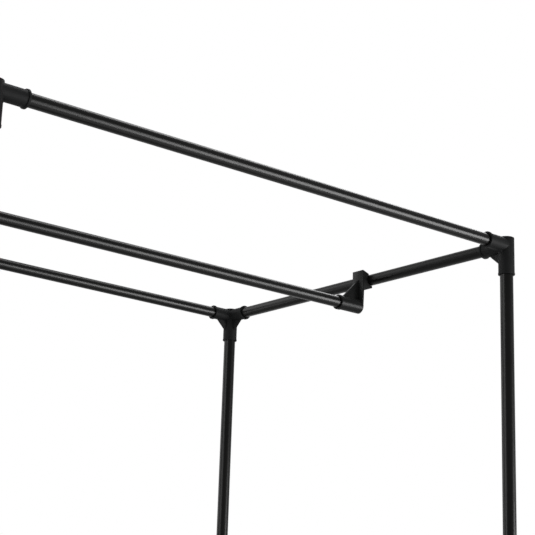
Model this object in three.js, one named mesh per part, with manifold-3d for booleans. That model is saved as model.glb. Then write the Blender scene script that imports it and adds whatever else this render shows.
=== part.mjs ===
// Portable wardrobe without its cover: a plug-together frame of thin steel tubes in moulded
// connectors, with a hanging rod that slides on the side rails and two sewn cloth shelves.
// Millimetres, +Z up. The origin is on the floor under the middle, and the front faces -Y.

import * as THREE from 'three';
import { mergeVertices } from 'three/addons/utils/BufferGeometryUtils.js';
import Module from 'manifold-3d';

// Overall size, across the lips of the uprights' sockets and up to the top of the rod's clips,
// and the height of the middle shelf's rails
const OVERALL_WIDTH = 600;
const OVERALL_DEPTH = 450;
const OVERALL_HEIGHT = 1550;
const SHELF_LEVEL = 520;

// Steel tubes
const UPRIGHT_OD = 13;
const RAIL_OD = 12;
const ROD_OD = 12;
const TUBE_WALL = 0.6;

// Clearances between pieces
const TUBE_FIT = 0.3;
const SLIDE_FIT = 0.3;
const CLOTH_FIT = 0.3;

// Moulded connectors: reach is from the corner's centre to a socket's mouth
const UPRIGHT_SOCKET_WALL = 1.2;
const RAIL_SOCKET_WALL = 1;
const UPRIGHT_ARM_REACH = 30.2;
const FRONT_ARM_REACH = 29.3;
const BACK_ARM_REACH = 27.6;
const FLOOR_WALL = 1;
const CAP_RISE = 0.4;
const CAP_CHAMFER = 0.4;
const FOOT_RISE = 0.6;
const LIP_LENGTH = 2;
const UPRIGHT_LIP_PROUD = 0.3;
const RAIL_LIP_PROUD = 0.9;
const LIP_CHAMFER = 0.3;
const WEB_THICKNESS = 2.4;
const WEB_SETBACK = 8;
const WEB_DROP = 18.5;
const CORNER_RIB_THICKNESS = 4;
const CORNER_RIB_LEG = 2.2;

// Straight couplers that join two lengths of upright
const COUPLER_LENGTH = 54;
const COUPLER_STOP = 2;

// End clips of the hanging rod: a socket for the rod, hung from a C-shaped saddle
const ROD_SETBACK = 199.3;
const ROD_DROP = 30.6;
const CLIP_SOCKET_WALL = 1.1;
const CLIP_SOCKET_REACH = 41.6;
const CLIP_LIP_LENGTH = 4;
const CLIP_LIP_PROUD = 0.6;
const CLIP_PLATE = 2.3;
const CLIP_PLATE_SETBACK = 4.2;
const SADDLE_WIDTH = 16.4;
const SADDLE_RISE = 3.2;
const SADDLE_NOSE_WALL = 1.7;
const SADDLE_TIP_ANGLE = 126;
const JAW_WALL = 2.9;
const JAW_TIP_ANGLE = 288;
const JAW_FILLET = 2;
const CLIP_WEB_THICKNESS = 3;
const CLIP_WEB_SETBACK = 7.2;
const CLIP_WEB_TOP_DROP = 1;

// Cloth shelves: one panel with a sewn sleeve along each edge, for the rail to pass through
const CLOTH_THICKNESS = 0.8;
const SEAM_SETBACK = 24;
const SEAM_LAND = 6;
const SLEEVE_END_GAP = 4;

// Smoothness of round shapes
const TUBE_SIDES = 16;
const SOCKET_SIDES = 16;
const SLEEVE_STEPS = 10;
const CLIP_STEPS = 8;

// Sizes that follow from the ones above
const tubeRadius = UPRIGHT_OD / 2;
const railRadius = RAIL_OD / 2;
const rodRadius = ROD_OD / 2;
const uprightSocket = tubeRadius + TUBE_FIT + UPRIGHT_SOCKET_WALL;
const railSocket = railRadius + TUBE_FIT + RAIL_SOCKET_WALL;
const capHeight = railSocket + CAP_RISE;
const footHeight = railSocket + RAIL_LIP_PROUD + FOOT_RISE;
const stopDistance = uprightSocket + FLOOR_WALL;
const halfWidth = OVERALL_WIDTH / 2 - uprightSocket - UPRIGHT_LIP_PROUD;
const halfDepth = OVERALL_DEPTH / 2 - uprightSocket - UPRIGHT_LIP_PROUD;
const baseLevel = footHeight;
const topLevel = OVERALL_HEIGHT - railRadius - SADDLE_RISE;
const couplerLevel = (SHELF_LEVEL + topLevel) / 2;

const coatedSteel = new THREE.MeshStandardMaterial({ color: 0x17181a, roughness: 0.25, metalness: 0.2 });
const mouldedPlastic = new THREE.MeshStandardMaterial({ color: 0x222325, roughness: 0.5, metalness: 0 });
const shelfCloth = new THREE.MeshStandardMaterial({ color: 0x3b3c3f, roughness: 0.95, metalness: 0 });

const LEFT = new THREE.Vector3(-1, 0, 0);
const RIGHT = new THREE.Vector3(1, 0, 0);
const FRONT = new THREE.Vector3(0, -1, 0);
const BACK = new THREE.Vector3(0, 1, 0);
const DOWN = new THREE.Vector3(0, 0, -1);
const UP = new THREE.Vector3(0, 0, 1);

const wasm = await Module();
wasm.setup();

// A closed three.js geometry as a solid that can be joined and cut
function solid(geometry) {
  const bare = geometry.clone();
  bare.deleteAttribute('normal');
  bare.deleteAttribute('uv');
  const merged = mergeVertices(bare);
  const corners = merged.index.array;
  const triangles = [];
  for (let i = 0; i < corners.length; i += 3) {
    const [a, b, c] = corners.subarray(i, i + 3);
    if (a !== b && b !== c && c !== a) triangles.push(a, b, c);
  }
  return new wasm.Manifold(new wasm.Mesh({
    numProp: 3,
    vertProperties: new Float32Array(merged.attributes.position.array),
    triVerts: new Uint32Array(triangles),
  }));
}

function joined(solids) {
  return solids.reduce((whole, next) => whole.add(next));
}

function geometryOf(body) {
  const { vertProperties, triVerts } = body.getMesh();
  const geometry = new THREE.BufferGeometry();
  geometry.setAttribute('position', new THREE.BufferAttribute(new Float32Array(vertProperties), 3));
  geometry.setIndex(new THREE.BufferAttribute(new Uint32Array(triVerts), 1));
  geometry.computeVertexNormals();
  return geometry;
}

function piece(name, geometry, material, x, y, z) {
  const mesh = new THREE.Mesh(geometry, material);
  mesh.name = name;
  mesh.position.set(x, y, z);
  return mesh;
}

// A turned shape whose profile is given as [radius, distance along the axis], pointed anywhere
function turned(profile, sides, direction) {
  const points = profile.map(([radius, along]) => new THREE.Vector2(radius, along));
  const geometry = new THREE.LatheGeometry(points, sides);
  const turn = new THREE.Quaternion().setFromUnitVectors(new THREE.Vector3(0, 1, 0), direction);
  return geometry.applyQuaternion(turn);
}

// A flat outline in the plane of two directions, thickened evenly to both sides of that plane
function plate(shape, thickness, across, upwards, steps) {
  const geometry = new THREE.ExtrudeGeometry(shape, {
    depth: thickness, bevelEnabled: false, curveSegments: steps,
  });
  geometry.translate(0, 0, -thickness / 2);
  const normal = new THREE.Vector3().crossVectors(across, upwards);
  return geometry.applyMatrix4(new THREE.Matrix4().makeBasis(across, upwards, normal));
}

function outline(points) {
  return new THREE.Shape(points.map(([x, y]) => new THREE.Vector2(x, y)));
}

// Steel tube, centred on the origin
function tube(outerRadius, length, direction) {
  const inner = outerRadius - TUBE_WALL;
  return turned([
    [inner, -length / 2],
    [outerRadius, -length / 2],
    [outerRadius, length / 2],
    [inner, length / 2],
    [inner, -length / 2],
  ], TUBE_SIDES, direction);
}

// Profile of the outside of a socket at its mouth, with the raised lip
function mouthProfile(radius, reach, lipProud, lipLength) {
  const lip = radius + lipProud;
  return [
    [radius, reach - lipLength],
    [lip, reach - lipLength + LIP_CHAMFER],
    [lip, reach],
    [0, reach],
  ];
}

// Outside of a socket, from its closed tail to its mouth
function socketBody(radius, tail, reach, lipProud, lipLength, direction) {
  const tailEdge = tail > 0 ? CAP_CHAMFER : 0;
  return solid(turned([
    [0, -tail],
    [radius - tailEdge, -tail],
    [radius, tailEdge - tail],
    ...mouthProfile(radius, reach, lipProud, lipLength),
  ], SOCKET_SIDES, direction));
}

// Outside of a sleeve with a mouth at both ends
function sleeveBody(radius, reach, lipProud, lipLength, direction) {
  const mouth = mouthProfile(radius, reach, lipProud, lipLength);
  const otherMouth = mouth.map(([distance, along]) => [distance, -along]).reverse();
  return solid(turned([...otherMouth, ...mouth], SOCKET_SIDES, direction));
}

// What a tube takes out of its socket, from the floor of the bore out past the mouth
function socketBore(tubeOuterRadius, floor, reach, direction) {
  const radius = tubeOuterRadius + TUBE_FIT;
  const overrun = LIP_LENGTH;
  return solid(turned([
    [0, floor],
    [radius, floor],
    [radius, reach + overrun],
    [0, reach + overrun],
  ], SOCKET_SIDES, direction));
}

// Gusset between a level arm and an upright arm
function cornerWeb(level, upright, reach) {
  const foot = reach - WEB_SETBACK;
  const sheet = outline([
    [0, 0],
    [foot, 0],
    [foot, railSocket],
    [uprightSocket, WEB_DROP],
    [0, WEB_DROP],
  ]);
  return solid(plate(sheet, WEB_THICKNESS, level, upright, 1));
}

// Small rib that fills the inner corner where there is no gusset
function cornerRib(level, upright) {
  const sheet = outline([
    [0, 0],
    [uprightSocket + CORNER_RIB_LEG, 0],
    [uprightSocket + CORNER_RIB_LEG, railSocket],
    [uprightSocket, railSocket + CORNER_RIB_LEG],
    [0, railSocket + CORNER_RIB_LEG],
  ]);
  return solid(plate(sheet, CORNER_RIB_THICKNESS, level, upright, 1));
}

// Moulded connector: level arms take rails and upright arms take uprights. With one upright arm
// its other end is closed, as a cap at the top or a foot on the floor.
function connector({ level, webs, reach }, uprightArms, closedEnd) {
  const [upright] = uprightArms;
  const railArm = (arm) => socketBody(railSocket, 0, reach, RAIL_LIP_PROUD, LIP_LENGTH, arm);
  const corner = (arm) => (webs.includes(arm) ? cornerWeb : cornerRib)(arm, upright, reach);
  const column = closedEnd > 0
    ? socketBody(uprightSocket, closedEnd, UPRIGHT_ARM_REACH, UPRIGHT_LIP_PROUD, LIP_LENGTH, upright)
    : sleeveBody(uprightSocket, UPRIGHT_ARM_REACH, UPRIGHT_LIP_PROUD, LIP_LENGTH, upright);
  const bodies = [column, ...level.map(railArm), ...level.map(corner)];
  const bores = [
    ...level.map((arm) => socketBore(railRadius, stopDistance, reach, arm)),
    ...uprightArms.map((arm) => socketBore(tubeRadius, stopDistance, UPRIGHT_ARM_REACH, arm)),
  ];
  return geometryOf(joined(bodies).subtract(joined(bores)));
}

// Straight coupler: a sleeve with a lip at both ends and a floor in the middle
function coupler() {
  const half = COUPLER_LENGTH / 2;
  const sleeve = sleeveBody(uprightSocket, half, UPRIGHT_LIP_PROUD, LIP_LENGTH, UP);
  const bores = [UP, DOWN].map((end) => socketBore(tubeRadius, COUPLER_STOP / 2, half, end));
  return geometryOf(sleeve.subtract(joined(bores)));
}

// Right-hand end clip of the rod. Its origin is on the side rail's axis, above the rod's end.
const clipBore = railRadius + SLIDE_FIT;
const clipInnerFace = -(clipBore + CLIP_PLATE + CLIP_PLATE_SETBACK);
const clipOuterFace = clipInnerFace + CLIP_PLATE;
const clipSocketRadius = rodRadius + TUBE_FIT + CLIP_SOCKET_WALL;
const jawRadius = clipBore + JAW_WALL;
const noseRadius = clipBore + SADDLE_NOSE_WALL;

function saddleProfile() {
  const tip = THREE.MathUtils.degToRad(SADDLE_TIP_ANGLE);
  const jawTip = THREE.MathUtils.degToRad(JAW_TIP_ANGLE);
  const bottom = THREE.MathUtils.degToRad(270);
  const shape = new THREE.Shape();
  shape.moveTo(clipInnerFace, railRadius + SADDLE_RISE);
  shape.lineTo(clipInnerFace, -jawRadius - JAW_FILLET);
  shape.lineTo(clipOuterFace, -jawRadius - JAW_FILLET);
  shape.absarc(clipOuterFace + JAW_FILLET, -jawRadius - JAW_FILLET, JAW_FILLET, Math.PI, Math.PI / 2, true);
  shape.lineTo(0, -jawRadius);
  shape.absarc(0, 0, jawRadius, bottom, jawTip, false);
  shape.absarc(0, 0, clipBore, jawTip, tip, true);
  shape.lineTo(noseRadius * Math.cos(tip), noseRadius * Math.sin(tip));
  return shape;
}

// Upright plate between saddle and socket, tapered, and rounded round the end of the socket
function hangerPlate() {
  const shape = new THREE.Shape();
  shape.moveTo(SADDLE_WIDTH / 2, 0);
  shape.lineTo(SADDLE_WIDTH / 2, -jawRadius - JAW_FILLET);
  shape.lineTo(clipSocketRadius, -ROD_DROP);
  shape.absarc(0, -ROD_DROP, clipSocketRadius, 0, -Math.PI, true);
  shape.lineTo(-SADDLE_WIDTH / 2, -jawRadius - JAW_FILLET);
  shape.lineTo(-SADDLE_WIDTH / 2, 0);
  const body = solid(plate(shape, CLIP_PLATE, BACK, UP, CLIP_STEPS));
  return body.translate([(clipInnerFace + clipOuterFace) / 2, 0, 0]);
}

function clipWeb() {
  const foot = -CLIP_SOCKET_REACH + CLIP_WEB_SETBACK;
  const socketTop = -ROD_DROP + clipSocketRadius;
  const sheet = outline([
    [foot, -ROD_DROP],
    [clipInnerFace, -ROD_DROP],
    [clipInnerFace, -CLIP_WEB_TOP_DROP],
    [foot, socketTop],
  ]);
  return solid(plate(sheet, CLIP_WEB_THICKNESS, RIGHT, UP, 1));
}

function rodClip() {
  const reach = CLIP_SOCKET_REACH + clipOuterFace;
  const at = [clipOuterFace, 0, -ROD_DROP];
  const boreFloor = CLIP_PLATE;
  const bodies = [
    solid(plate(saddleProfile(), SADDLE_WIDTH, RIGHT, UP, CLIP_STEPS)),
    hangerPlate(),
    clipWeb(),
    socketBody(clipSocketRadius, 0, reach, CLIP_LIP_PROUD, CLIP_LIP_LENGTH, LEFT).translate(at),
  ];
  const bore = socketBore(rodRadius, boreFloor, reach, LEFT).translate(at);
  return geometryOf(joined(bodies).subtract(bore));
}

// One band of a cloth shelf: a flat panel that goes over the rail on each side, round it and
// back under itself, where the two plies are sewn together along a narrow land.
function clothBand(railDistance, length, across) {
  const inner = railRadius + CLOTH_FIT;
  const outer = inner + CLOTH_THICKNESS;
  const landEnd = railDistance - SEAM_SETBACK + SEAM_LAND;
  const seam = railDistance - SEAM_SETBACK;
  const ring = (side, radius, height) => {
    const away = railDistance - landEnd;
    const lean = Math.PI - Math.atan2(height, away) + Math.acos(radius / Math.hypot(away, height));
    const first = Math.PI / 2 + 2 * Math.PI;
    return Array.from({ length: SLEEVE_STEPS + 1 }, (_, step) => {
      const angle = first + (lean - first) * step / SLEEVE_STEPS;
      return [side * (railDistance + radius * Math.cos(angle)), radius * Math.sin(angle)];
    });
  };
  const edge = (side) => [
    ...ring(side, outer, inner - CLOTH_THICKNESS),
    [side * landEnd, inner - CLOTH_THICKNESS],
    [side * seam, inner - CLOTH_THICKNESS],
    [side * seam, inner],
  ];
  const tunnel = (side) => outline([...ring(side, inner, inner), [side * landEnd, inner]]);
  const sheet = outline([...edge(1), ...edge(-1).reverse()]);
  const cloth = solid(plate(sheet, length, across, UP, 1));
  const tunnelLength = length + 2 * SLEEVE_END_GAP;
  const tunnels = [1, -1].map((side) => solid(plate(tunnel(side), tunnelLength, across, UP, 1)));
  return cloth.subtract(joined(tunnels));
}

function clothShelf() {
  const mouthToSleeve = FRONT_ARM_REACH + SLEEVE_END_GAP;
  const frontToBack = clothBand(halfDepth, 2 * (halfWidth - mouthToSleeve), BACK);
  const sideToSide = clothBand(halfWidth, 2 * (halfDepth - mouthToSleeve), RIGHT);
  return geometryOf(frontToBack.add(sideToSide));
}

// Assembly
const wardrobe = new THREE.Group();
const frame = new THREE.Group();
const hanging = new THREE.Group();
wardrobe.add(frame, hanging);

// The front connectors have no gusset in the front opening, only a small rib
const front = { y: -halfDepth, reach: FRONT_ARM_REACH };
const back = { y: halfDepth, reach: BACK_ARM_REACH };
const corners = [
  { name: 'front_left', x: -halfWidth, ...front, level: [RIGHT, BACK], webs: [BACK] },
  { name: 'front_right', x: halfWidth, ...front, level: [LEFT, BACK], webs: [BACK] },
  { name: 'back_left', x: -halfWidth, ...back, level: [RIGHT, FRONT], webs: [RIGHT, FRONT] },
  { name: 'back_right', x: halfWidth, ...back, level: [LEFT, FRONT], webs: [LEFT, FRONT] },
];

for (const corner of corners) {
  const { name, x, y } = corner;
  const topConnector = connector(corner, [DOWN], capHeight);
  const shelfConnector = connector(corner, [DOWN, UP], 0);
  const baseConnector = connector(corner, [UP], footHeight);
  frame.add(piece(`connector_top_${name}`, topConnector, mouldedPlastic, x, y, topLevel));
  frame.add(piece(`connector_shelf_${name}`, shelfConnector, mouldedPlastic, x, y, SHELF_LEVEL));
  frame.add(piece(`connector_base_${name}`, baseConnector, mouldedPlastic, x, y, baseLevel));
  frame.add(piece(`coupler_${name}`, coupler(), mouldedPlastic, x, y, couplerLevel));
}

// Uprights in three lengths, each from one socket floor to the next
const socketEnd = stopDistance + TUBE_FIT;
const couplerEnd = COUPLER_STOP / 2 + TUBE_FIT;
const lengths = [
  { name: 'lower', from: baseLevel + socketEnd, to: SHELF_LEVEL - socketEnd },
  { name: 'middle', from: SHELF_LEVEL + socketEnd, to: couplerLevel - couplerEnd },
  { name: 'upper', from: couplerLevel + couplerEnd, to: topLevel - socketEnd },
];
for (const { name, from, to } of lengths) {
  const middle = (from + to) / 2;
  for (const { name: corner, x, y } of corners) {
    const upright = tube(tubeRadius, to - from, UP);
    frame.add(piece(`upright_${name}_${corner}`, upright, coatedSteel, x, y, middle));
  }
}

// Rails: two long and two short ones at each level
const longRail = 2 * (halfWidth - socketEnd);
const shortRail = 2 * (halfDepth - socketEnd);
const levels = [['top', topLevel], ['shelf', SHELF_LEVEL], ['base', baseLevel]];
for (const [name, z] of levels) {
  frame.add(piece(`rail_${name}_front`, tube(railRadius, longRail, RIGHT), coatedSteel, 0, -halfDepth, z));
  frame.add(piece(`rail_${name}_back`, tube(railRadius, longRail, RIGHT), coatedSteel, 0, halfDepth, z));
  frame.add(piece(`rail_${name}_left`, tube(railRadius, shortRail, BACK), coatedSteel, -halfWidth, 0, z));
  frame.add(piece(`rail_${name}_right`, tube(railRadius, shortRail, BACK), coatedSteel, halfWidth, 0, z));
}
frame.add(piece('cloth_shelf_middle', clothShelf(), shelfCloth, 0, 0, SHELF_LEVEL));
frame.add(piece('cloth_shelf_base', clothShelf(), shelfCloth, 0, 0, baseLevel));

// Hanging rod with its two end clips, which slide along the top side rails
const rodLength = 2 * (halfWidth + clipInnerFace - TUBE_FIT);
const rodPlace = -halfDepth + ROD_SETBACK;
hanging.position.set(0, rodPlace, topLevel);
const rightClip = piece('rod_clip_right', rodClip(), mouldedPlastic, halfWidth, 0, 0);
const leftClip = piece('rod_clip_left', rodClip(), mouldedPlastic, -halfWidth, 0, 0);
leftClip.rotation.z = Math.PI;
hanging.add(rightClip, leftClip);
hanging.add(piece('hanging_rod', tube(rodRadius, rodLength, RIGHT), coatedSteel, 0, 0, -ROD_DROP));

wardrobe.updateMatrixWorld(true);

export default wardrobe;
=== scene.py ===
import math

import bmesh
import bpy
from mathutils import Matrix, Vector, noise


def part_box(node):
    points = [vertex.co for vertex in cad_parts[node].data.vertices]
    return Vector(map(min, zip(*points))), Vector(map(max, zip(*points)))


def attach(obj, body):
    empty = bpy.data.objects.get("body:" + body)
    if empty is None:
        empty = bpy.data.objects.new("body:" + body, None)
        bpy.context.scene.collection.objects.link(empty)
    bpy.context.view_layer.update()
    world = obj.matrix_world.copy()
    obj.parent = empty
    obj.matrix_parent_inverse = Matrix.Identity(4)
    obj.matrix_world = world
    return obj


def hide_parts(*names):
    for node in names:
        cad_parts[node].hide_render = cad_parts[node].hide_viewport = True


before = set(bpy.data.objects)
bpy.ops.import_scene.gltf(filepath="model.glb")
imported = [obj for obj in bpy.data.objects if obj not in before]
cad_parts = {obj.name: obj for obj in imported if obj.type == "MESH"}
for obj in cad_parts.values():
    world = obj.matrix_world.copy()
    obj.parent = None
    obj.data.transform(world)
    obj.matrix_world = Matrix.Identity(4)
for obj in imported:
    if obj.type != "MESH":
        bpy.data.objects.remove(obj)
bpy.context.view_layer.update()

scene = bpy.context.scene
scene.view_settings.view_transform = "Standard"

# Camera: low, in front of the left end, looking up at the right half of the top frame
# through a long lens. The shift is the photograph's own, which is cropped off centre.
CAMERA_PLACE = (-0.836423, -1.205753, 1.098839)
LOOKING_RIGHT = Vector((0.773436, -0.632835, 0.036285))
LOOKING_DOWN = Vector((0.206664, 0.197637, -0.958243))
LOOKING_AHEAD = Vector((0.599238, 0.748639, 0.283644))
SENSOR_WIDTH = 36
FOCAL_LENGTH = 104.98
LENS_SHIFT = 0.0507

lens = bpy.data.cameras.new("camera")
lens.sensor_width = SENSOR_WIDTH
lens.lens = FOCAL_LENGTH
lens.shift_x = LENS_SHIFT
lens.shift_y = -LENS_SHIFT
camera = bpy.data.objects.new("camera", lens)
camera_turn = Matrix((LOOKING_RIGHT, -LOOKING_DOWN, -LOOKING_AHEAD)).transposed().to_4x4()
camera.matrix_world = Matrix.Translation(CAMERA_PLACE) @ camera_turn
scene.collection.objects.link(camera)
scene.camera = camera


# Uprights and rails: thin-walled steel tube, cut square and deburred, with a gloss black
# powder coat that keeps a fine orange peel. Each end pushes into a socket of a connector.
TUBE_WALL = 0.0006
TUBE_DEBURR = 0.00015
ROUND_STEPS = 64
WELD = 0.000001
SHARP_ANGLE = math.radians(32)
COAT_DARK = (0.0035, 0.0035, 0.0033)
COAT_LIGHT = (0.0055, 0.0055, 0.0052)
COAT_ROUGHNESS = 0.26
COAT_SPECULAR = 0.07
CLOUDING_SIZE = 0.09
CLOUDING_GAIN = 0.06
PEEL_SIZE = 0.0022
PEEL_HEIGHT = 0.0000025


class Level:
    """A socket that carries a number or a colour, with the arithmetic that finishes use."""

    def __init__(self, nodes, socket):
        self.nodes = nodes
        self.socket = socket

    def __add__(self, other):
        return self.nodes.node("Math", {"operation": "ADD"}, {0: self, 1: other})

    def __mul__(self, other):
        return self.nodes.node("Math", {"operation": "MULTIPLY"}, {0: self, 1: other})

    __radd__ = __add__
    __rmul__ = __mul__


class Nodes:
    """A tree of shader nodes, built up one by one."""

    def __init__(self, tree):
        self.tree = tree

    def node(self, kind, settings=None, inputs=None, output=0):
        made = self.tree.nodes.new("ShaderNode" + kind)
        for setting, value in (settings or {}).items():
            if setting == "stops":
                for stop, (place, shade) in zip(made.color_ramp.elements, value):
                    stop.position = place
                    stop.color = (*shade, 1)
            else:
                setattr(made, setting, value)
        for socket, value in (inputs or {}).items():
            if isinstance(value, Level):
                self.tree.links.new(value.socket, made.inputs[socket])
            else:
                made.inputs[socket].default_value = value
        return Level(self, made.outputs[output])


class Finish(Nodes):
    """A material as its maker would describe it."""

    def __init__(self, name, roughness, specular, sheen=0.0):
        self.material = bpy.data.materials.new(name)
        self.material.use_nodes = True
        super().__init__(self.material.node_tree)
        self.surface = self.tree.nodes["Principled BSDF"]
        self.surface.inputs["Roughness"].default_value = roughness
        self.surface.inputs["Specular IOR Level"].default_value = specular
        self.surface.inputs["Sheen Weight"].default_value = sheen

    def feed(self, socket, level):
        self.tree.links.new(level.socket, self.surface.inputs[socket])

    def speckle(self, size, detail=2.0):
        place = self.node("TexCoord", output="Object")
        return self.node("TexNoise", {}, {"Vector": place, "Scale": 1 / size, "Detail": detail})

    def tint(self, level, dark, light):
        stops = [(0.3, dark), (0.7, light)]
        return self.node("ValToRGB", {"stops": stops}, {"Fac": level})

    def relief(self, level, height):
        bump = {"Strength": 1.0, "Distance": height, "Height": level}
        self.feed("Normal", self.node("Bump", {}, bump))


steel_coat = Finish("gloss_black_coat", COAT_ROUGHNESS, COAT_SPECULAR)
clouding = steel_coat.speckle(CLOUDING_SIZE)
steel_coat.feed("Base Color", steel_coat.tint(clouding, COAT_DARK, COAT_LIGHT))
steel_coat.feed("Roughness", COAT_ROUGHNESS + clouding * CLOUDING_GAIN)
steel_coat.relief(steel_coat.speckle(PEEL_SIZE), PEEL_HEIGHT)


def turned(profile, direction, place):
    """A shape turned round its own axis from points of radius and distance along it."""
    shape = bmesh.new()
    points = [shape.verts.new((radius, 0, along)) for radius, along in profile]
    edges = [shape.edges.new(pair) for pair in zip(points, points[1:])]
    bmesh.ops.spin(
        shape, geom=points + edges, cent=(0, 0, 0), axis=(0, 0, 1),
        angle=math.tau, steps=ROUND_STEPS, use_merge=True,
    )
    bmesh.ops.remove_doubles(shape, verts=shape.verts, dist=WELD)
    bmesh.ops.recalc_face_normals(shape, faces=shape.faces)
    turn = Vector((0, 0, 1)).rotation_difference(Vector(direction)).to_matrix().to_4x4()
    bmesh.ops.transform(shape, matrix=Matrix.Translation(place) @ turn, verts=shape.verts)
    return shape


def finished(name, shape, finish, body, node):
    """Makes a shape into a piece of the wardrobe that stands for its plain solid, if any."""
    mesh = bpy.data.meshes.new(name)
    shape.to_mesh(mesh)
    shape.free()
    mesh.materials.append(finish.material)
    mesh.shade_smooth()
    mesh.set_sharp_from_angle(angle=SHARP_ANGLE)
    made = bpy.data.objects.new(name, mesh)
    scene.collection.objects.link(made)
    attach(made, body)
    if node:
        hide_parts(node)
    return made


def steel_tube(node, body):
    """A tube with deburred ends where its plain solid is."""
    low, high = (Vector(corner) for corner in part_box(node))
    size = high - low
    along = max(range(3), key=lambda axis: size[axis])
    radius = min(size) / 2
    end = size[along] / 2
    bore = radius - TUBE_WALL
    profile = [
        (bore, -end + TUBE_DEBURR), (bore + TUBE_DEBURR, -end),
        (radius - TUBE_DEBURR, -end), (radius, -end + TUBE_DEBURR),
        (radius, end - TUBE_DEBURR), (radius - TUBE_DEBURR, end),
        (bore + TUBE_DEBURR, end), (bore, end - TUBE_DEBURR),
        (bore, -end + TUBE_DEBURR),
    ]
    direction = [float(axis == along) for axis in range(3)]
    shape = turned(profile, direction, (low + high) / 2)
    finished("steel_" + node, shape, steel_coat, body, node)


for node in sorted(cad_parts):
    if node.startswith(("upright_", "rail_")):
        steel_tube(node, "frame")


# Connectors: one-piece injection mouldings in black plastic with a satin, finely textured
# skin. Their sockets run into each other, each mouth has a lip, and thin gussets stiffen the
# corners. The closed end of a three-way connector is a flat cap, which is also the foot.
RIGHT = (1, 0, 0)
LEFT = (-1, 0, 0)
BACK = (0, 1, 0)
UP = (0, 0, 1)
DOWN = (0, 0, -1)
HALF_WIDTH = 0.2917
HALF_DEPTH = 0.2167
BASE_LEVEL = 0.0088
SHELF_LEVEL = 0.52
TOP_LEVEL = 1.5408
UPRIGHT_BORE = 0.0068
UPRIGHT_SOCKET = 0.008
UPRIGHT_LIP = 0.0083
UPRIGHT_REACH = 0.0302
RAIL_BORE = 0.0063
RAIL_SOCKET = 0.0073
RAIL_LIP = 0.0082
FRONT_REACH = 0.0293
BACK_REACH = 0.0276
SOCKET_FLOOR = 0.009
LIP_LENGTH = 0.002
MOUTH_EASE = 0.00015
CAP_HEIGHT = 0.0077
FOOT_HEIGHT = 0.0088
CAP_EASE = 0.0004
CAP_EASE_CORNER = 0.3
GUSSET_THICKNESS = 0.0024
GUSSET_SETBACK = 0.008
GUSSET_DROP = 0.0185
RIB_THICKNESS = 0.004
RIB_LEG = 0.0022
PLATE_EASE = 0.0003
PLATE_CORNER = math.radians(60)
PLASTIC_DARK = (0.0112, 0.0117, 0.012)
PLASTIC_LIGHT = (0.0152, 0.0158, 0.0162)
SATIN_ROUGHNESS = 0.6
SATIN_SPECULAR = 0.04
SATIN_TEXTURE = 0.00002
FLOW_SIZE = 0.03
FLOW_GAIN = 0.1
GRAIN_SIZE = 0.0007
GRAIN_DETAIL = 3.0
GRAIN_GAIN = 0.06
MATT_BLEND = 0.0004
MATT_GAIN = 0.36


def black_plastic(name, roughness, specular, texture, dark, light, matt_from=None):
    """Black plastic whose gloss drifts a little with its flow in the mould, and which may be
    matt from a distance to either side of the wardrobe's middle."""
    finish = Finish(name, roughness, specular)
    flow = finish.speckle(FLOW_SIZE)
    grain = finish.speckle(GRAIN_SIZE, GRAIN_DETAIL)
    finish.feed("Base Color", finish.tint(flow, dark, light))
    smoothest = roughness - (FLOW_GAIN + GRAIN_GAIN) / 2
    skin = smoothest + flow * FLOW_GAIN + grain * GRAIN_GAIN
    if matt_from:
        aside = finish.node("SeparateXYZ", {}, {0: finish.node("TexCoord", output="Object")})
        away = finish.node("Math", {"operation": "ABSOLUTE"}, {0: aside})
        matt = finish.node("MapRange", {}, {0: away, 1: matt_from, 2: matt_from + MATT_BLEND})
        skin = skin + matt * MATT_GAIN
    finish.feed("Roughness", skin)
    finish.relief(grain, texture)
    return finish


satin_plastic = black_plastic(
    "satin_black_plastic", SATIN_ROUGHNESS, SATIN_SPECULAR, SATIN_TEXTURE,
    PLASTIC_DARK, PLASTIC_LIGHT,
)


def mouth(radius, lip, reach, length):
    """The profile of a socket's outside at its mouth, with the raised lip."""
    return [
        (radius, reach - length), (lip - MOUTH_EASE, reach - length + MOUTH_EASE),
        (lip, reach - length + 2 * MOUTH_EASE), (lip, reach - MOUTH_EASE),
        (lip - MOUTH_EASE, reach), (0, reach),
    ]


def socket_outside(direction, place, radius, lip, reach, tail=0, length=LIP_LENGTH):
    """The outside of a socket, from its closed tail to its mouth."""
    ease = CAP_EASE if tail else 0
    corner = CAP_EASE_CORNER * ease
    closed = [
        (0, -tail), (radius - ease, -tail), (radius - corner, corner - tail),
        (radius, ease - tail),
    ]
    return turned(closed + mouth(radius, lip, reach, length), direction, place)


def sleeve_outside(reach):
    """The outside of an upright sleeve, with a mouth at both ends."""
    upper = mouth(UPRIGHT_SOCKET, UPRIGHT_LIP, reach, LIP_LENGTH)
    lower = [(radius, -along) for radius, along in reversed(upper)]
    return turned(lower + upper, UP, (0, 0, 0))


def socket_bore(direction, place, radius, floor, reach):
    """What the mould's core leaves open, with the eased edge of the mouth."""
    return turned([
        (0, floor), (radius, floor), (radius, reach - MOUTH_EASE),
        (radius + 2 * MOUTH_EASE, reach + MOUTH_EASE), (0, reach + MOUTH_EASE),
    ], direction, place)


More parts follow.
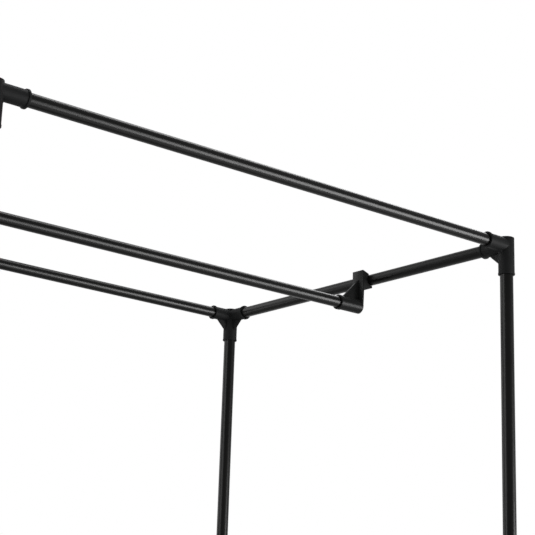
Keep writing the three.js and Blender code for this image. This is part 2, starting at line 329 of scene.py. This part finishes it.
def plate(outline, thickness, across, place=(0, 0, 0)):
    """An upright flat plate from its outline, with eased edges."""
    shape = bmesh.new()
    corners = [shape.verts.new((x, y, -thickness / 2)) for x, y in outline]
    front = shape.faces.new(corners)
    pulled = bmesh.ops.extrude_face_region(shape, geom=[front])["geom"]
    pulled = [part for part in pulled if isinstance(part, bmesh.types.BMVert)]
    bmesh.ops.translate(shape, vec=(0, 0, thickness), verts=pulled)
    bmesh.ops.recalc_face_normals(shape, faces=shape.faces)
    rims = [edge for edge in shape.edges if edge.calc_face_angle(0) > PLATE_CORNER]
    bmesh.ops.bevel(
        shape, geom=rims, offset=PLATE_EASE, offset_type="OFFSET", affect="EDGES",
        segments=2, profile=0.5, material=-1,
    )
    across, upwards = Vector(across), Vector(UP)
    turn = Matrix((across, upwards, across.cross(upwards))).transposed().to_4x4()
    bmesh.ops.transform(shape, matrix=Matrix.Translation(place) @ turn, verts=shape.verts)
    bmesh.ops.recalc_face_normals(shape, faces=shape.faces)
    return shape


def moulded(bodies, cores):
    """One moulding: all the bodies run together, less all the cores."""
    parts = []
    for shape in bodies + cores:
        mesh = bpy.data.meshes.new("mould")
        shape.to_mesh(mesh)
        shape.free()
        parts.append(bpy.data.objects.new("mould", mesh))
        scene.collection.objects.link(parts[-1])
    for number, part in enumerate(parts[1:], 1):
        step = parts[0].modifiers.new("step", "BOOLEAN")
        step.operation = "UNION" if number < len(bodies) else "DIFFERENCE"
        step.solver = "MANIFOLD"
        step.object = part
    result = parts[0].evaluated_get(bpy.context.evaluated_depsgraph_get())
    shape = bmesh.new()
    shape.from_mesh(result.to_mesh())
    result.to_mesh_clear()
    for part in parts:
        bpy.data.meshes.remove(part.data)
    bmesh.ops.remove_doubles(shape, verts=shape.verts, dist=2 * WELD)
    return shape


def placed(mould, signs, place):
    """A copy of a moulding at its place, mirrored along each axis whose sign is negative."""
    shape = mould.copy()
    turn = Matrix.Translation(place) @ Matrix.Diagonal((*signs, 1))
    bmesh.ops.transform(shape, matrix=turn, verts=shape.verts)
    if math.prod(signs) < 0:
        bmesh.ops.reverse_faces(shape, faces=shape.faces)
    return shape


def connector_mould(reach, gussets, tail):
    """Level arms to the right and the back, and an arm up, or one up and one down."""
    at = (0, 0, 0)
    arms = (RIGHT, BACK)
    foot = reach - GUSSET_SETBACK
    gusset = [
        (0, 0), (foot, 0), (foot, RAIL_SOCKET), (UPRIGHT_SOCKET, GUSSET_DROP), (0, GUSSET_DROP),
    ]
    rib_foot, rib_drop = UPRIGHT_SOCKET + RIB_LEG, RAIL_SOCKET + RIB_LEG
    rib = [
        (0, 0), (rib_foot, 0), (rib_foot, RAIL_SOCKET), (UPRIGHT_SOCKET, rib_drop), (0, rib_drop),
    ]
    bodies = [socket_outside(arm, at, RAIL_SOCKET, RAIL_LIP, reach) for arm in arms]
    for arm in arms:
        if arm in gussets:
            bodies.append(plate(gusset, GUSSET_THICKNESS, arm))
        else:
            bodies.append(plate(rib, RIB_THICKNESS, arm))
    cores = [socket_bore(arm, at, RAIL_BORE, SOCKET_FLOOR, reach) for arm in arms]
    if tail:
        bodies.append(socket_outside(UP, at, UPRIGHT_SOCKET, UPRIGHT_LIP, UPRIGHT_REACH, tail))
        ends = (UP,)
    else:
        bodies.append(sleeve_outside(UPRIGHT_REACH))
        ends = (UP, DOWN)
    cores += [socket_bore(end, at, UPRIGHT_BORE, SOCKET_FLOOR, UPRIGHT_REACH) for end in ends]
    return moulded(bodies, cores)


# Each level's name and height, which way its upright arm points in the mould, and its cap
levels = [
    ("base", BASE_LEVEL, 1, FOOT_HEIGHT),
    ("shelf", SHELF_LEVEL, -1, 0),
    ("top", TOP_LEVEL, -1, CAP_HEIGHT),
]
ends = [("front", -1, FRONT_REACH, [BACK]), ("back", 1, BACK_REACH, [RIGHT, BACK])]
sides = [("left", -1), ("right", 1)]
for level, height, upwards, tail in levels:
    for end, y, reach, gussets in ends:
        mould = connector_mould(reach, gussets, tail)
        for side, x in sides:
            node = f"connector_{level}_{end}_{side}"
            place = (x * HALF_WIDTH, y * HALF_DEPTH, height)
            shape = placed(mould, (-x, -y, upwards), place)
            finished("moulded_" + node, shape, satin_plastic, "frame", node)
        mould.free()


# Couplers: straight moulded sleeves with a lip at each end. They join two lengths of upright,
# which meet on either side of a thin floor half way along.
COUPLER_HALF = 0.027
COUPLER_STOP = 0.001

coupler_mould = moulded(
    [sleeve_outside(COUPLER_HALF)],
    [socket_bore(end, (0, 0, 0), UPRIGHT_BORE, COUPLER_STOP, COUPLER_HALF) for end in (UP, DOWN)],
)
for node in sorted(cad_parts):
    if node.startswith("coupler_"):
        low, high = (Vector(corner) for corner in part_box(node))
        shape = placed(coupler_mould, (1, 1, 1), (low + high) / 2)
        finished("moulded_" + node, shape, satin_plastic, "frame", node)
coupler_mould.free()


# Cloth shelves: one panel of charcoal non-woven cloth each, with its corners cut out and its
# four edges folded round the rails and sewn down as sleeves. The cut edges are bound with
# folded tape. The rails hold the panel nearly flat, with a slight sag and gathers at the seams.
CLOTH_PLY = 0.0007
SLEEVE_RADIUS = 0.0067
SEAM_SETBACK = 0.024
SEAM_LAND = 0.006
SLEEVE_END = 0.0333
PANEL_STEPS_ACROSS, PANEL_STEPS_BACK = 40, 30
BINDING_STEPS, EDGE_STEPS, TURN_STEPS, RISE_STEPS, LAND_STEPS = 3, 8, 18, 5, 2
BINDING_WIDTH = 0.007
BINDING_THICKNESS = 0.0013
BINDING_OFFSET = 0.15
SHELF_SAG = 0.005
SLACK_HEIGHT = 0.0012
SLACK_SCALE = 9
GATHER_HEIGHT = 0.0009
GATHER_PITCH = 0.034
GATHER_FADE = 0.03
GATHER_WANDER = 3
GATHER_SHARE = 0.6
STITCH_LENGTH = 0.003
STITCH_PITCH = 0.0042
STITCH_WIDTH = 0.0006
CLOTH_DARK = (0.036, 0.037, 0.04)
CLOTH_LIGHT = (0.055, 0.056, 0.06)
CLOTH_ROUGHNESS = 0.82
CLOTH_SPECULAR = 0.06
CLOTH_SHEEN = 0.15
CLOTH_RELIEF = 0.00012
BOND_PITCH = 0.0021
BOND_WANDER = 0.15
BOND_MIDDLE, BOND_EDGE = 0.2, 0.38
BOND_SHARE = 0.3
BOND_GAIN = 0.12
FIBRE_SIZE = 0.0012
FIBRE_DETAIL = 4.0
FIBRE_SHARE = 0.35
FIBRE_RISE = 0.6
MOTTLE_SCALE = 60.0
MOTTLE_DETAIL = 3.0
MOTTLE_SHARE = 0.35
TAPE_DARK = (0.0126, 0.0126, 0.0133)
TAPE_LIGHT = (0.018, 0.018, 0.019)
TAPE_ROUGHNESS = 0.85
TAPE_SPECULAR = 0.08
TAPE_SHEEN = 0.1
TAPE_RELIEF = 0.0001
TAPE_RIB_SCALE = 320.0
TAPE_RIB_WANDER = 0.4
THREAD_DARK = (0.054, 0.054, 0.057)
THREAD_LIGHT = (0.09, 0.09, 0.095)
THREAD_ROUGHNESS = 0.6
THREAD_SPECULAR = 0.15
THREAD_RELIEF = 0.00005
TWIST_SIZE = 0.0006

shelf_cloth = Finish("charcoal_non_woven", CLOTH_ROUGHNESS, CLOTH_SPECULAR, CLOTH_SHEEN)
on_cloth = shelf_cloth.node("UVMap")
bond = shelf_cloth.node(
    "TexVoronoi", {"feature": "F1"},
    {"Vector": on_cloth, "Scale": 1 / BOND_PITCH, "Randomness": BOND_WANDER}, "Distance",
)
fibres = shelf_cloth.node(
    "TexNoise", {}, {"Vector": on_cloth, "Scale": 1 / FIBRE_SIZE, "Detail": FIBRE_DETAIL},
)
mottle = shelf_cloth.node(
    "TexNoise", {}, {"Vector": on_cloth, "Scale": MOTTLE_SCALE, "Detail": MOTTLE_DETAIL},
)
raised = shelf_cloth.node(
    "MapRange", {"interpolation_type": "SMOOTHSTEP"}, {0: bond, 1: BOND_MIDDLE, 2: BOND_EDGE},
)
shade = fibres * FIBRE_SHARE + mottle * MOTTLE_SHARE + raised * BOND_SHARE
shelf_cloth.feed("Base Color", shelf_cloth.tint(shade, CLOTH_DARK, CLOTH_LIGHT))
shelf_cloth.feed("Roughness", CLOTH_ROUGHNESS + raised * BOND_GAIN)
shelf_cloth.relief(raised + fibres * FIBRE_RISE, CLOTH_RELIEF)

binding_tape = Finish("woven_binding_tape", TAPE_ROUGHNESS, TAPE_SPECULAR, TAPE_SHEEN)
on_tape = binding_tape.node("TexCoord", output="Object")
ribs = binding_tape.node(
    "TexWave", {"bands_direction": "DIAGONAL"},
    {"Vector": on_tape, "Scale": TAPE_RIB_SCALE, "Distortion": TAPE_RIB_WANDER},
)
binding_tape.feed("Base Color", binding_tape.tint(ribs, TAPE_DARK, TAPE_LIGHT))
binding_tape.relief(ribs, TAPE_RELIEF)

sewing_thread = Finish("sewing_thread", THREAD_ROUGHNESS, THREAD_SPECULAR)
twist = sewing_thread.speckle(TWIST_SIZE)
sewing_thread.feed("Base Color", sewing_thread.tint(twist, THREAD_DARK, THREAD_LIGHT))
sewing_thread.relief(twist, THREAD_RELIEF)

# Where each corner is cut out of the flat cloth, and the fold of a sleeve, seen along its
# rail: round the rail, then back up to the panel
cut_x, cut_y = HALF_WIDTH - SLEEVE_END, HALF_DEPTH - SLEEVE_END
land_drop = SLEEVE_RADIUS - CLOTH_PLY
land_away = SEAM_SETBACK - SEAM_LAND
lean = math.atan2(land_drop, land_away)
wrap = math.pi / 2 + math.pi - lean + math.acos(SLEEVE_RADIUS / math.hypot(land_away, land_drop))
round_rail = SLEEVE_RADIUS * wrap
back_up = math.sqrt(land_away ** 2 + land_drop ** 2 - SLEEVE_RADIUS ** 2)
fold = round_rail + back_up + SEAM_LAND


def stations(*stretches):
    """Places along a flat cut: each stretch runs on to its end in so many even steps."""
    places = [0.0]
    for end, steps in stretches:
        start = places[-1]
        places += [start + (end - start) * step / steps for step in range(1, steps + 1)]
    return places


def folded(past):
    """Where a point ends up that lies so far past the rail on the flat cloth."""
    if past <= 0:
        return past, SLEEVE_RADIUS
    turn = math.pi / 2 - min(past, round_rail) / SLEEVE_RADIUS
    out, height = SLEEVE_RADIUS * math.cos(turn), SLEEVE_RADIUS * math.sin(turn)
    straight = min(max(past - round_rail, 0), back_up) / back_up
    out += (-land_away - out) * straight
    height += (land_drop - height) * straight
    return out - max(past - round_rail - back_up, 0), height


def hang(x, y, seed):
    """How far the panel hangs below flat: the sag, and gathers that fade away from the seams."""
    across, along = abs(x) / HALF_WIDTH, abs(y) / HALF_DEPTH
    if across >= 1 or along >= 1:
        return 0
    edge_x, edge_y = HALF_WIDTH - abs(x), HALF_DEPTH - abs(y)
    calm = min(1, edge_x / SEAM_SETBACK) * min(1, edge_y / SEAM_SETBACK)
    slack = noise.noise(Vector((x * SLACK_SCALE, y * SLACK_SCALE, seed)))
    wander = GATHER_WANDER * slack
    gather_x = math.sin(math.tau * y / GATHER_PITCH + wander) * math.exp(-edge_x / GATHER_FADE)
    gather_y = math.sin(math.tau * x / GATHER_PITCH + wander) * math.exp(-edge_y / GATHER_FADE)
    gathers = (gather_x + gather_y) * GATHER_HEIGHT * (GATHER_SHARE + slack)
    sag = -SHELF_SAG * (1 - across ** 2) * (1 - along ** 2)
    return sag + calm * (gathers + SLACK_HEIGHT * slack)


def under_tape(u, v):
    """Whether tape covers a place on the flat cloth: it binds the edges of the cut corners."""
    return (u > cut_x - BINDING_WIDTH and v > cut_y) or (v > cut_y - BINDING_WIDTH and u > cut_x)


def sewn_shape(seed, height, keep=None):
    """The cut cloth as a grid, or what keep takes of it, folded round the rails."""
    columns, rows = (
        stations(
            (cut - BINDING_WIDTH, steps), (cut, BINDING_STEPS), (half, EDGE_STEPS),
            (half + round_rail, TURN_STEPS), (half + round_rail + back_up, RISE_STEPS),
            (half + fold, LAND_STEPS),
        )
        for cut, half, steps in (
            (cut_x, HALF_WIDTH, PANEL_STEPS_ACROSS), (cut_y, HALF_DEPTH, PANEL_STEPS_BACK),
        )
    )
    columns = [-place for place in columns[:0:-1]] + columns
    rows = [-place for place in rows[:0:-1]] + rows
    shape = bmesh.new()
    bmesh.ops.create_grid(
        shape, x_segments=len(columns) - 1, y_segments=len(rows) - 1, size=1, calc_uvs=False,
    )
    flat = shape.loops.layers.uv.new("UVMap")
    spot = {}
    for corner in shape.verts:
        column = round((corner.co.x + 1) / 2 * (len(columns) - 1))
        row = round((corner.co.y + 1) / 2 * (len(rows) - 1))
        spot[corner] = (columns[column], rows[row])
    spare = []
    for face in shape.faces:
        u = abs(sum(spot[corner][0] for corner in face.verts)) / 4
        v = abs(sum(spot[corner][1] for corner in face.verts)) / 4
        cut_out = u > cut_x and v > cut_y
        if cut_out or (keep and not keep(u, v)):
            spare.append(face)
        for loop in face.loops:
            loop[flat].uv = spot[loop.vert]
    bmesh.ops.delete(shape, geom=spare, context="FACES")
    for corner in shape.verts:
        u, v = spot[corner]
        out_x, up_x = folded(abs(u) - HALF_WIDTH)
        out_y, up_y = folded(abs(v) - HALF_DEPTH)
        x = math.copysign(HALF_WIDTH + out_x, u)
        y = math.copysign(HALF_DEPTH + out_y, v)
        corner.co = (x, y, height + min(up_x, up_y) + hang(x, y, seed))
    return shape


def stitched_line(seed, height):
    """Lockstitch along the four seams, on top of the panel and under it."""
    shape = bmesh.new()
    size = (STITCH_LENGTH / 2, STITCH_WIDTH / 2, STITCH_WIDTH / 2, 1)
    inset = SEAM_SETBACK - SEAM_LAND / 2
    seams = [(RIGHT, cut_x, HALF_DEPTH - inset), (BACK, cut_y, HALF_WIDTH - inset)]
    for direction, reach, away in seams:
        count = int((2 * reach - STITCH_PITCH) / STITCH_PITCH)
        turn = Matrix.Rotation(0 if direction == RIGHT else math.pi / 2, 4, "Z")
        for side in (away, -away):
            for level in (SLEEVE_RADIUS + CLOTH_PLY / 2, SLEEVE_RADIUS - 1.5 * CLOTH_PLY):
                along = -(count - 1) / 2 * STITCH_PITCH
                x, y = (along, side) if direction == RIGHT else (side, along)
                first = Matrix.Translation((x, y, height + level)) @ turn @ Matrix.Diagonal(size)
                stitch = bmesh.ops.create_uvsphere(
                    shape, u_segments=6, v_segments=4, radius=1, matrix=first,
                )["verts"]
                faces = list({face for corner in stitch for face in corner.link_faces})
                bmesh.ops.spin(
                    shape, geom=stitch + faces, cent=(0, 0, 0), axis=(0, 0, 1), angle=0,
                    dvec=Vector(direction) * STITCH_PITCH, steps=count - 1, use_duplicate=True,
                )
    for corner in shape.verts:
        corner.co.z += hang(corner.co.x, corner.co.y, seed)
    return shape


def cloth_shelf(node, level, height, seed):
    """A shelf with its binding and its stitching, on the four rails of a level."""
    cloth = finished(
        "sewn_" + node, sewn_shape(seed, height), shelf_cloth, "frame", node,
    )
    ply = cloth.modifiers.new("ply", "SOLIDIFY")
    ply.thickness = CLOTH_PLY
    ply.offset = 0
    binding = finished(
        "binding_" + level, sewn_shape(seed, height, under_tape), binding_tape,
        "frame", None,
    )
    tape = binding.modifiers.new("tape", "SOLIDIFY")
    tape.thickness = BINDING_THICKNESS
    tape.offset = BINDING_OFFSET
    thread = finished(
        "stitching_" + level, stitched_line(seed, height), sewing_thread,
        "frame", None,
    )
    half_x, half_y = HALF_WIDTH + fold, HALF_DEPTH + fold
    2 * half_x
    2 * half_y
    4 * (half_x * cut_y + cut_x * half_y - cut_x * cut_y)


cloth_shelf("cloth_shelf_middle", "shelf", SHELF_LEVEL, seed=3)
cloth_shelf("cloth_shelf_base", "base", BASE_LEVEL, seed=8)


# Hanging rod: the same coated steel tube as the rails. Each end sits in the socket of a
# moulded clip, whose C-shaped saddle hooks over the side rail and slides along it. The clip's
# plastic is smoother than the connectors', apart from its hook, which is matt.
ROD_DROP = 0.0306
CLIP_SOCKET_RADIUS = 0.0074
CLIP_LIP_RADIUS = 0.008
CLIP_LIP_LENGTH = 0.004
CLIP_SOCKET_REACH = 0.0416
CLIP_INNER_FACE = -0.0128
CLIP_OUTER_FACE = -0.0105
SADDLE_WIDTH = 0.0164
SADDLE_TOP = 0.0092
SADDLE_BORE = 0.0063
SADDLE_NOSE_RADIUS = 0.008
SADDLE_TIP_ANGLE = 126
JAW_RADIUS = 0.0089
JAW_TIP_ANGLE = 278
JAW_FILLET = 0.002
CLIP_WEB_THICKNESS = 0.003
CLIP_WEB_FOOT = -0.0344
CLIP_WEB_TOP = -0.001
ARC_STEPS, FILLET_STEPS, JAW_STEPS = 24, 6, 4
CLIP_DARK = (0.0108, 0.0114, 0.0112)
CLIP_LIGHT = (0.0175, 0.0183, 0.018)
CLIP_ROUGHNESS = 0.34
CLIP_SPECULAR = 0.036
CLIP_TEXTURE = 0.000004


def arc(centre, radius, start, end, steps):
    """Points on an arc from one angle to another, in degrees."""
    turns = [math.radians(start + (end - start) * step / steps) for step in range(steps + 1)]
    x, y = centre
    return [(x + radius * math.cos(turn), y + radius * math.sin(turn)) for turn in turns]


hook_face = HALF_WIDTH + CLIP_OUTER_FACE - 2 * MATT_BLEND
smooth_plastic = black_plastic(
    "smooth_black_plastic", CLIP_ROUGHNESS, CLIP_SPECULAR, CLIP_TEXTURE,
    CLIP_DARK, CLIP_LIGHT, hook_face,
)

rail_middle = (0, 0)
shoulder = SADDLE_WIDTH / 2
shoulder_drop = -JAW_RADIUS - JAW_FILLET
nose = math.radians(SADDLE_TIP_ANGLE)
saddle_outline = [
    (CLIP_INNER_FACE, SADDLE_TOP), (CLIP_INNER_FACE, shoulder_drop),
    *arc((CLIP_OUTER_FACE + JAW_FILLET, shoulder_drop), JAW_FILLET, 180, 90, FILLET_STEPS),
    *arc(rail_middle, JAW_RADIUS, 270, JAW_TIP_ANGLE, JAW_STEPS),
    *arc(rail_middle, SADDLE_BORE, JAW_TIP_ANGLE, SADDLE_TIP_ANGLE, ARC_STEPS),
    (SADDLE_NOSE_RADIUS * math.cos(nose), SADDLE_NOSE_RADIUS * math.sin(nose)),
]
hanger_outline = [
    (shoulder, 0), (shoulder, shoulder_drop),
    *arc((0, -ROD_DROP), CLIP_SOCKET_RADIUS, 0, -180, ARC_STEPS),
    (-shoulder, shoulder_drop), (-shoulder, 0),
]
web_outline = [
    (CLIP_WEB_FOOT, -ROD_DROP), (CLIP_INNER_FACE, -ROD_DROP),
    (CLIP_INNER_FACE, CLIP_WEB_TOP), (CLIP_WEB_FOOT, CLIP_SOCKET_RADIUS - ROD_DROP),
]
hanger_middle = ((CLIP_INNER_FACE + CLIP_OUTER_FACE) / 2, 0, 0)
hanger_thickness = CLIP_OUTER_FACE - CLIP_INNER_FACE
socket_place = (CLIP_OUTER_FACE, 0, -ROD_DROP)
socket_length = CLIP_SOCKET_REACH + CLIP_OUTER_FACE
clip_mould = moulded([
    plate(saddle_outline, SADDLE_WIDTH, RIGHT),
    plate(hanger_outline, hanger_thickness, BACK, hanger_middle),
    plate(web_outline, CLIP_WEB_THICKNESS, RIGHT),
    socket_outside(
        LEFT, socket_place, CLIP_SOCKET_RADIUS, CLIP_LIP_RADIUS, socket_length,
        length=CLIP_LIP_LENGTH,
    ),
], [socket_bore(LEFT, socket_place, RAIL_BORE, hanger_thickness, socket_length)])
for side, x in sides:
    node = "rod_clip_" + side
    low, high = (Vector(corner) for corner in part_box(node))
    place = (x * HALF_WIDTH, (low.y + high.y) / 2, TOP_LEVEL)
    shape = placed(clip_mould, (x, x, 1), place)
    finished("moulded_" + node, shape, smooth_plastic, "hanging_rail", node)
clip_mould.free()
steel_tube("hanging_rod", "hanging_rail")


# Studio: a plain pale floor in a white surround, under one soft box. Reflector cards stand
# round the wardrobe. Only gloss shows them, as the bands along the tubes and the clips.
FLOOR_SIZE = 30.0
FLOOR_DARK = (0.8514, 0.8514, 0.8514)
FLOOR_LIGHT = (0.86, 0.86, 0.86)
FLOOR_ROUGHNESS = 0.9
DUST_SIZE = 0.4
SURROUND_LIGHT = 0.55
WHITE = (1, 1, 1, 1)


def seen_by(nodes, *rays):
    """One for these kinds of ray, and nought for the others."""
    seen = nodes.node("LightPath", output=rays[0])
    for ray in rays[1:]:
        other = nodes.node("LightPath", output=ray)
        seen = nodes.node("Math", {"operation": "MAXIMUM"}, {0: seen, 1: other})
    return seen


def soft_box(name, place, aim, size, radiance, lights=True):
    """A rectangular lamp that faces its aim, set by how bright its face looks in gloss. A
    reflector card that only gloss shows adds no light of its own."""
    lamp = bpy.data.lights.new(name, "AREA")
    lamp.shape = "RECTANGLE"
    lamp.size, lamp.size_y = size
    lamp.energy = radiance * math.pi * size[0] * size[1]
    made = bpy.data.objects.new(name, lamp)
    made.location = place
    made.rotation_euler = (Vector(aim) - Vector(place)).to_track_quat("-Z", "Y").to_euler()
    made.visible_camera = False
    made.visible_diffuse = lights
    scene.collection.objects.link(made)


floor_shape = bmesh.new()
bmesh.ops.create_grid(floor_shape, x_segments=1, y_segments=1, size=FLOOR_SIZE / 2)
floor_mesh = bpy.data.meshes.new("floor")
floor_shape.to_mesh(floor_mesh)
floor_shape.free()
pale_floor = Finish("pale_floor", FLOOR_ROUGHNESS, specular=0.0)
dust = pale_floor.speckle(DUST_SIZE)
pale_floor.feed("Base Color", pale_floor.tint(dust, FLOOR_DARK, FLOOR_LIGHT))
lit = Level(pale_floor, pale_floor.surface.outputs["BSDF"])
white = pale_floor.node("Emission", {}, {"Color": WHITE, "Strength": 1.0})
gloss_or_glass = seen_by(pale_floor, "Is Glossy Ray", "Is Transmission Ray")
shown = pale_floor.node("MixShader", {}, {"Fac": gloss_or_glass, 1: lit, 2: white})
floor_surface = pale_floor.tree.nodes["Material Output"].inputs["Surface"]
pale_floor.tree.links.new(shown.socket, floor_surface)
floor_mesh.materials.append(pale_floor.material)
floor = bpy.data.objects.new("floor", floor_mesh)
scene.collection.objects.link(floor)

surround = bpy.data.worlds.new("surround")
surround.use_nodes = True
scene.world = surround
sky = Nodes(surround.node_tree)
background = sky.tree.nodes["Background"]
background.inputs["Color"].default_value = WHITE
seen = seen_by(sky, "Is Camera Ray", "Is Glossy Ray", "Is Transmission Ray")
strength = sky.node("MapRange", {}, {"Value": seen, "To Min": SURROUND_LIGHT, "To Max": 1.0})
sky.tree.links.new(strength.socket, background.inputs["Strength"])

soft_box("overhead", (0.45, 0.0, 3.0), (0.1, 0.05, 1.5), (0.5, 1.1), 8)

# Each card's name, place, aim, width and height, and how bright it looks
cards = [
    ("card_front", (0.98, -2.0, 0.85), (0.1, -0.1, 1.5), (0.45, 1.3), 14),
    ("card_right", (1.75, -1.9, 0.85), (0.1, -0.1, 1.5), (1.05, 1.3), 40),
    ("card_low", (-0.15, -2.0, 0.6), (0.29, 0.0, 1.0), (0.3, 1.1), 8),
    ("card_left", (-1.3, 0.3, 1.75), (0.3, 0.1, 1.5), (0.9, 0.9), 9),
    ("card_back", (-0.7, 1.8, 1.8), (0.3, 0.0, 1.5), (1.2, 2.2), 3.2),
    ("card_behind", (1.7, 0.6, 3.1), (0.2, 0.0, 1.5), (0.8, 0.8), 5),
    ("card_floor", (1.1, -1.1, 0.02), (1.1, -1.1, 1.0), (1.8, 1.4), 2.5),
]
for card in cards:
    soft_box(*card, lights=False)
